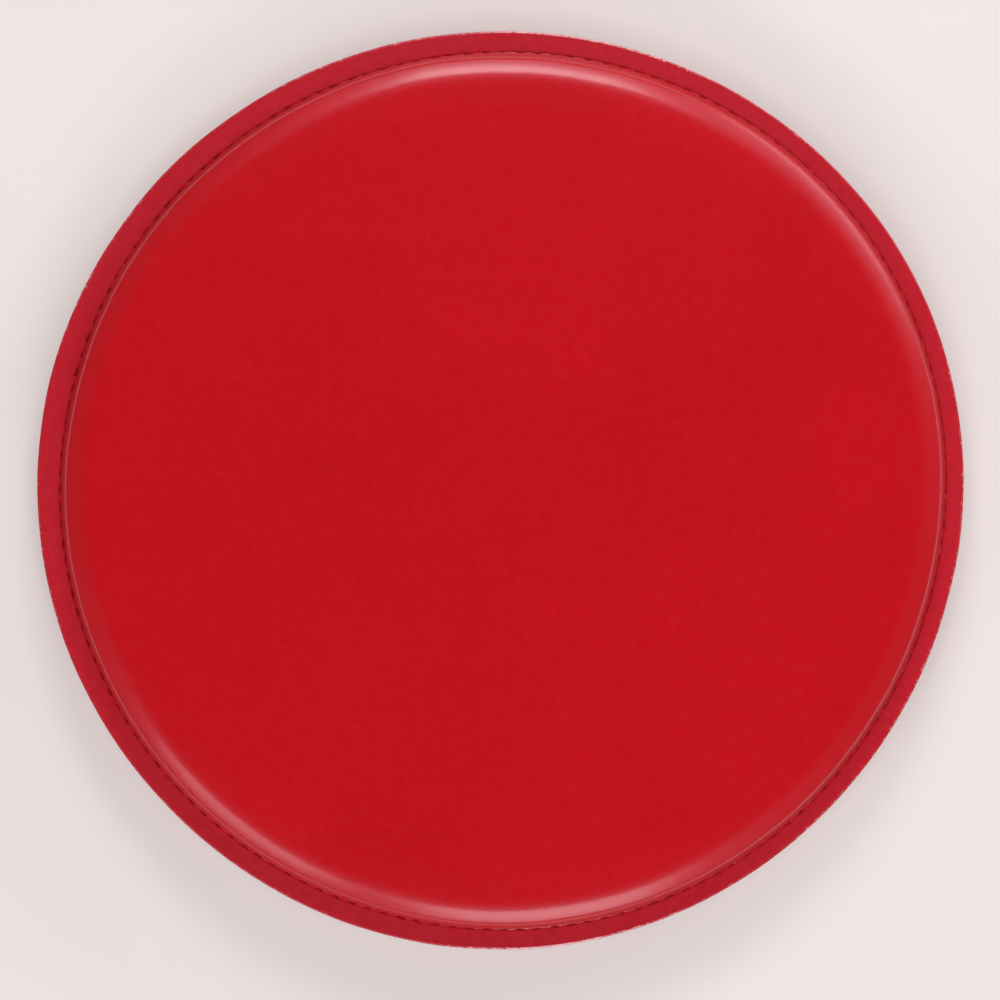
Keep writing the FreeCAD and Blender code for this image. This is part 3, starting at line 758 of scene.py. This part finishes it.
def lining_shell(name, profile, flat, height, body, node):
    """A thin cloth shell: a flat, and an edge that turns up the wall, with small gathers."""
    builder = Builder()
    count = COLUMNS // 2
    rings = []
    for r, z, gather in profile:
        spots = []
        for n in range(count):
            turn = TAU * n / count
            fold = gather * MM * (ripple(turn * 22, 0, 1.0, 41.0) + 0.6 * ripple(turn * 55, 0, 1.0, 43.0))
            spots.append(polar(r + fold, z, turn))
        rings.append(builder.ring(spots))
    for a, b in zip(rings, rings[1:]):
        builder.bridge(a, b)
    steps = [(flat - 3 * MM, count // 2), (flat - 8 * MM, count // 4)]
    steps += [(flat - (8 + 6 * n) * MM, count // 8) for n in range(1, 11)]
    steps += [((60 - 7 * n) * MM, count // 16) for n in range(4)]
    steps += [(30 * MM, count // 32), (14 * MM, count // 32)]
    facing = 1 if height(0, 0) < ZIP_Z else -1
    close_flat(builder, rings[0], steps, height)
    close_flat(builder, rings[-1], steps[:2] + [(flat - 30 * MM, count // 8), (60 * MM, count // 16),
                                                (30 * MM, count // 32), (14 * MM, count // 32)],
               lambda x, y: height(x, y) - facing * LINING)
    builder.finish(name, LINING_LOOK, "lining", body, [node])


def back_lining():
    """Lies on the board and turns up behind the zip's tape."""
    wall = TAPE_R - TAPE - 0.55 * MM
    bend = 1.3 * MM
    flat = wall - bend
    top = LOWER_TAPE_LOW + 2.6 * MM
    base = BACK_LINING_TOP + 0.05 * MM
    profile = [(flat + bend * math.sin(math.radians(a)), base + bend * (1 - math.cos(math.radians(a))), 0.10)
               for a in (0, 20, 45, 70, 90)]
    profile = [(r - 0.1 * MM, min(z, top), g) for r, z, g in profile]
    rim = [(wall - 0.1 * MM, top + 0.25 * MM, 0.08), (wall + 0.1 * MM, top + 0.4 * MM, 0.05),
           (wall + LINING, top + 0.2 * MM, 0.04)]
    outside = [(wall + LINING, base + bend, 0.03), (flat + 0.9 * MM, base - LINING + 0.3 * MM, 0.0),
               (flat, base - LINING, 0.0)]

    def height(x, y):
        return base + 0.18 * MM * ripple(x, y, 30 * MM, 50.0) * (1 - smooth(0.112, 0.13, math.hypot(x, y)))

    lining_shell("back_lining_cloth", profile + rim + outside, flat, height, "back", "back_lining")


def front_lining():
    """Under the lid's board, down the roll's inside, and turned in at the rim."""
    low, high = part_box("front_lining")
    side = (high.x - low.x) / 2
    base = high.z - LINING
    roll = base + LINING - RIM_TOP - FRONT_WALL
    wall = side - 0.75 * MM
    flat = wall - roll
    centre = (flat, base - roll + LINING)
    inner = roll - LINING
    profile = [(r, z, 0.12 * smooth(80, 10, a)) for a, (r, z) in
               zip((90, 72, 54, 36, 18, 0), round_arc(centre, inner, 90, 0, 6))]
    profile += [(wall - LINING + 0.25 * MM, RIM_TOP + 0.5 * MM, 0.10)]
    profile += [(side - LINING, RIM_SPLIT + 0.5 * MM, 0.05)]
    profile += [(side - LINING / 2, RIM_SPLIT + 0.25 * MM, 0.04), (side, RIM_SPLIT + 0.5 * MM, 0.03)]
    profile += [(wall + 0.3 * MM, RIM_TOP + 0.5 * MM, 0.02)]
    profile += [(r, z, 0.0) for r, z in round_arc(centre, roll, 0, 90, 6)]

    def height(x, y):
        return base - 0.18 * MM * ripple(x, y, 30 * MM, 60.0) * (1 - smooth(0.108, 0.122, math.hypot(x, y)))

    lining_shell("front_lining_cloth", profile, flat, height, "front", "front_lining")


def foam_sheet(name, node, body):
    """A foam disc with a rounded edge."""
    low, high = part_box(node)
    builder = Builder()
    count = COLUMNS // 8
    half = (high.z - low.z) / 2
    rings = []
    for r, z in round_arc((high.x - half, (low.z + high.z) / 2), half, 90, -90, 9):
        rings.append(builder.ring([polar(r, z, TAU * n / count) for n in range(count)]))
    for a, b in zip(rings, rings[1:]):
        builder.bridge(a, b)
    for ring, level in ((rings[0], high.z), (rings[-1], low.z)):
        steps = [(high.x - 12 * MM, count), (high.x * 0.7, count // 2), (high.x * 0.35, count // 4),
                 (high.x * 0.1, count // 8)]
        close_flat(builder, ring, steps, lambda x, y, level=level: level)
    piece = builder.finish(name, FOAM_LOOK, "foam", body, [node])


# ---- hinge and pull ----
def hinge_leather():
    """Joins back and lid. Its upper edge is thinned and sewn into the rim."""
    outer = TAPE_R - TAPE
    inner = outer - HINGE_LEATHER
    reach = math.degrees(math.asin(HINGE_X / (inner + HINGE_LEATHER / 2)))
    low = HINGE_LOW
    bend = SEWN_BEND
    out = RIM_R - TAPE_INSET
    section = round_arc((inner + 0.3 * MM, low + 0.3 * MM), 0.3 * MM, 180, 270, 3)
    section += round_arc((outer - 0.3 * MM, low + 0.3 * MM), 0.3 * MM, 270, 360, 3)
    section += straight((outer, low + 0.6 * MM), (outer, BACKING_TOP - bend), 16)
    section += round_arc((outer + bend, BACKING_TOP - bend), bend, 180, 90, 5)
    section += [(out, BACKING_TOP), (out, RIM_SPLIT), (outer, RIM_SPLIT)]
    section += round_arc((inner + 0.3 * MM, RIM_SPLIT - 0.3 * MM), 0.3 * MM, 90, 180, 3)
    section += straight((inner, RIM_SPLIT - 0.6 * MM), (inner, low + 0.6 * MM), 16)

    def warp(r, z, turn):
        free = smooth(WALL_TOP, ZIP_Z, z) * (1 - smooth(ZIP_Z, RIM_UNDER, z))
        pucker = 0.12 * MM * free * ripple(math.degrees(turn) * 0.8, z / MM * 0.3, 1.0, 70.0)
        return (r - 0.25 * MM * free + pucker, z)

    builder = band(section, 90 - reach, 90 + reach, 0.35, warp)
    piece = builder.finish("hinge_leather", LEATHER_LOOK, "red_leather", "", ["hinge_panel"])
    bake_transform(piece)


class PullFrame:
    """The pull's own directions at rest: along the strap, out of the wall, and up."""

    def __init__(self):
        radial = Vector((PIN.x, PIN.y, 0)).normalized()
        tangent = Vector((-radial.y, radial.x, 0))
        lean = math.radians(5.0)         # of the strap towards the wall
        self.along = -tangent * math.cos(lean) - radial * math.sin(lean)
        self.out = radial * math.cos(lean) - tangent * math.sin(lean)
        self.up = Vector((0, 0, 1))

    def at(self, along, out, up):
        """A point given in millimetres from the pin."""
        return PIN + (self.along * along + self.out * out + self.up * up) * MM


def pull_strap():
    """A leather strip folded round the link's bar, its layers glued together, with a rounded tip."""
    own = PullFrame()
    half, layer = 2.85, 1.0          # half the strap's width and thickness, in millimetres
    fold, bar, tip = 5.95, 8.05, 24.0        # along from the pin, in millimetres
    stations = [fold + 0.05, fold + 0.25, fold + 0.6, fold + 1.0, bar, bar + 0.7, bar + 1.4, bar + 2.0]
    stations += [bar + 2.0 + n for n in range(1, 12)]
    stations += [tip - half * (1 - math.sin(math.radians(a))) for a in (10, 25, 40, 55, 68, 78, 86)]
    builder = Builder()
    rings = []
    for s in stations:
        thick = 1.55 - 0.55 * smooth(bar, bar + 2.0, s)
        if s < fold + 1.0:
            t = (s - fold) / 1.0
            thick *= math.sqrt(max(0.08, 1 - (1 - t) ** 2))
        over = max(0.0, s - (tip - half)) / half
        wide = half * math.sqrt(max(0.01, 1 - over ** 2))
        corner = min(0.3, wide * 0.4, thick * 0.5)
        loop = []
        for cx, cy, a in ((wide - corner, thick - corner, 0), (corner - wide, thick - corner, 90),
                          (corner - wide, corner - thick, 180), (wide - corner, corner - thick, 270)):
            for k in range(4):
                turn = math.radians(a + 30 * k)
                loop.append(tuple(own.at(s, cy + corner * math.sin(turn), cx + corner * math.cos(turn))))
        rings.append(builder.ring(loop))
    for a, b in zip(rings, rings[1:]):
        builder.bridge(a, b)
    builder.cap(rings[0])
    builder.cap(rings[-1])
    builder.finish("strap_leather", LEATHER_LOOK, "red_leather", "pull", ["pull_strap"])
    thread = Builder()
    row = half - 0.65
    for face in (-1, 1):
        for side in (-1, 1):
            for n in range(5):
                middle = own.at(bar + 3.2 + 2.4 * n, face * (layer - 0.02), side * row)
                add_stitch(thread, middle, own.along, own.out * face, 1.8 * MM, 0.2 * MM, 0.25 * MM)
    thread.finish("strap_stitches", THREAD_LOOK, "red_thread", "pull", ["pull_thread"])


# ---- CAD pieces that stay, with better materials ----
def dress_cad():
    """Gives the brass and the boards their materials, and the brass softer edges."""
    looks = {"brass": BRASS_LOOK, "board": BOARD_LOOK}
    slots = {row["node"]: row["material_slot"] for row in frame["record"]["subparts"]}
    for name, piece in frame["nodes"].items():
        if slots[name] not in looks:
            continue
        piece.data.materials.clear()
        piece.data.materials.append(looks[slots[name]])
        if slots[name] == "brass":
            rounding = piece.modifiers.new("worn_edges", "BEVEL")
            rounding.width = 0.1 * MM
            rounding.segments = 2
            rounding.limit_method = "ANGLE"


# ---- floor, light and camera ----
def stage():
    """A pale floor, wide enough that low views don't show where it ends."""
    half = 12.0
    mesh = bpy.data.meshes.new("floor")
    mesh.from_pydata([(-half, -half, 0), (half, -half, 0), (half, half, 0), (-half, half, 0)],
                     [], [(0, 1, 2, 3)])
    floor = bpy.data.objects.new("floor", mesh)
    bpy.context.scene.collection.objects.link(floor)
    n = Nodes("pale_floor")
    tint = n.scaled(n.noise(3.0, 2.0), 0.3, 0.7, 0.0, 1.0)
    colour = n.mix(tint, (0.810, 0.752, 0.745, 1), (0.830, 0.772, 0.765, 1))
    n.set(Base_Color=colour, Roughness=0.9, Specular_IOR_Level=0.1)
    seen = n.add("ShaderNodeLightPath")
    seen = n.math("MAXIMUM", seen.outputs["Is Camera Ray"], seen.outputs["Is Glossy Ray"])
    glow = n.add("ShaderNodeEmission", {"Color": (0.775, 0.693, 0.686, 1), "Strength": 1.0})
    # A third of what is seen near the case is this even glow, so shadows stay soft. Far off, where
    # the lamps don't reach, all of it is.
    away = n.add("ShaderNodeVectorMath", {0: n.place}, operation="LENGTH").outputs["Value"]
    share = n.scaled(away, 0.3, 1.1, 0.32, 1.0)
    mixed = n.add("ShaderNodeMixShader", {
        0: n.math("MULTIPLY", seen, share), 1: n.shader.outputs[0], 2: glow.outputs[0]})
    n.tree.links.new(mixed.outputs[0], n.tree.nodes["Material Output"].inputs["Surface"])
    floor.data.materials.append(n.material)


def softbox(name, azimuth, elevation, distance, wide, tall, power, mirrored):
    """A soft lamp that faces the case, at an azimuth from +X towards +Y."""
    lamp = bpy.data.lights.new(name, "AREA")
    lamp.shape = "RECTANGLE"
    lamp.size, lamp.size_y = wide, tall
    lamp.energy = power
    lamp.color = (1.0, 0.985, 0.98)
    turn, rise = math.radians(azimuth), math.radians(elevation)
    place = Vector((math.cos(turn) * math.cos(rise), math.sin(turn) * math.cos(rise), math.sin(rise)))
    place *= distance
    holder = bpy.data.objects.new(name, lamp)
    holder.location = place
    holder.rotation_mode = "QUATERNION"
    holder.rotation_quaternion = (-place).to_track_quat("-Z", "Y")
    holder.visible_glossy = mirrored
    lamp.cycles.use_multiple_importance_sampling = mirrored
    bpy.context.scene.collection.objects.link(holder)


def room():
    """Even light from all sides, dark straight above, a little brighter towards +X and -Y."""
    world = bpy.data.worlds.new("room")
    world.use_nodes = True
    tree = world.node_tree
    back = tree.nodes["Background"]
    where = tree.nodes.new("ShaderNodeTexCoord").outputs["Generated"]
    split = tree.nodes.new("ShaderNodeSeparateXYZ")
    tree.links.new(where, split.inputs[0])
    ramp = tree.nodes.new("ShaderNodeValToRGB")
    # A direction's height, from 0 for level and below to 1 for straight up, and its brightness.
    stops = [(0.0, 0.30), (0.60, 0.30), (0.85, 0.20), (0.94, 0.04), (1.0, 0.02)]
    while len(ramp.color_ramp.elements) < len(stops):
        ramp.color_ramp.elements.new(0.5)
    for element, (place, level) in zip(ramp.color_ramp.elements, stops):
        element.position = place
        element.color = (level, level, level, 1)
    tree.links.new(split.outputs["Z"], ramp.inputs["Fac"])
    aside = tree.nodes.new("ShaderNodeVectorMath")
    aside.operation = "DOT_PRODUCT"
    tree.links.new(where, aside.inputs[0])
    aside.inputs[1].default_value = (0.05, -0.10, 0.0)
    share = tree.nodes.new("ShaderNodeMath")
    share.operation = "ADD"
    tree.links.new(aside.outputs["Value"], share.inputs[0])
    share.inputs[1].default_value = 0.63
    tree.links.new(ramp.outputs["Color"], back.inputs["Color"])
    tree.links.new(share.outputs[0], back.inputs["Strength"])
    bpy.context.scene.world = world


# Name, azimuth and elevation in degrees, distance, width and height in metres, power in watts,
# and whether reflections show it.
LAMPS = (
    ("overhead_fill", 258, 78, 2.4, 1.7, 1.7, 24.0, False),
    ("top_lamp", 88, 40, 1.3, 0.56, 0.30, 6.9, True),
    ("right_lamp", 42, 21, 1.3, 0.80, 0.30, 5.8, True),
    ("bottom_lamp", 276, 36, 1.3, 0.60, 0.34, 4.8, True),
    ("lower_left_lamp", 232, 38, 1.3, 0.5, 0.28, 2.3, True),
)


def light():
    """The room and the soft lamps."""
    room()
    for lamp in LAMPS:
        softbox(*lamp)


def camera():
    """Straight above, as far off as a long lens needs, with the rim as large as it is seen."""
    lens, sensor = 170.0, 36.0             # millimetres
    aside, ahead = -0.85 * MM, 0.66 * MM   # the lens isn't quite over the centre
    seen_rim = 460.65 / 1000 * 2           # the rim's diameter as a share of the picture's width
    width = 2 * RIM_R / seen_rim
    view = bpy.data.cameras.new("camera")
    view.lens, view.sensor_width = lens, sensor
    holder = bpy.data.objects.new("camera", view)
    down = 0.0118 * width                  # the case stands a little above the picture's middle
    holder.location = (aside, ahead - down, RIM_TOP + width * lens / sensor)
    bpy.context.scene.collection.objects.link(holder)
    bpy.context.scene.camera = holder


front_leather()
backing_leather()
upper_tape()
rim_stitches()
front_lining()
foam_sheet("front_foam_sheet", "front_foam", "front")
back_leather()
foam_sheet("back_foam_sheet", "back_foam", "back")
back_lining()
lower_tape()
wall_stitches()
hinge_leather()
pull_strap()
dress_cad()
stage()
light()
camera()
bpy.context.scene.view_settings.view_transform = "Standard"
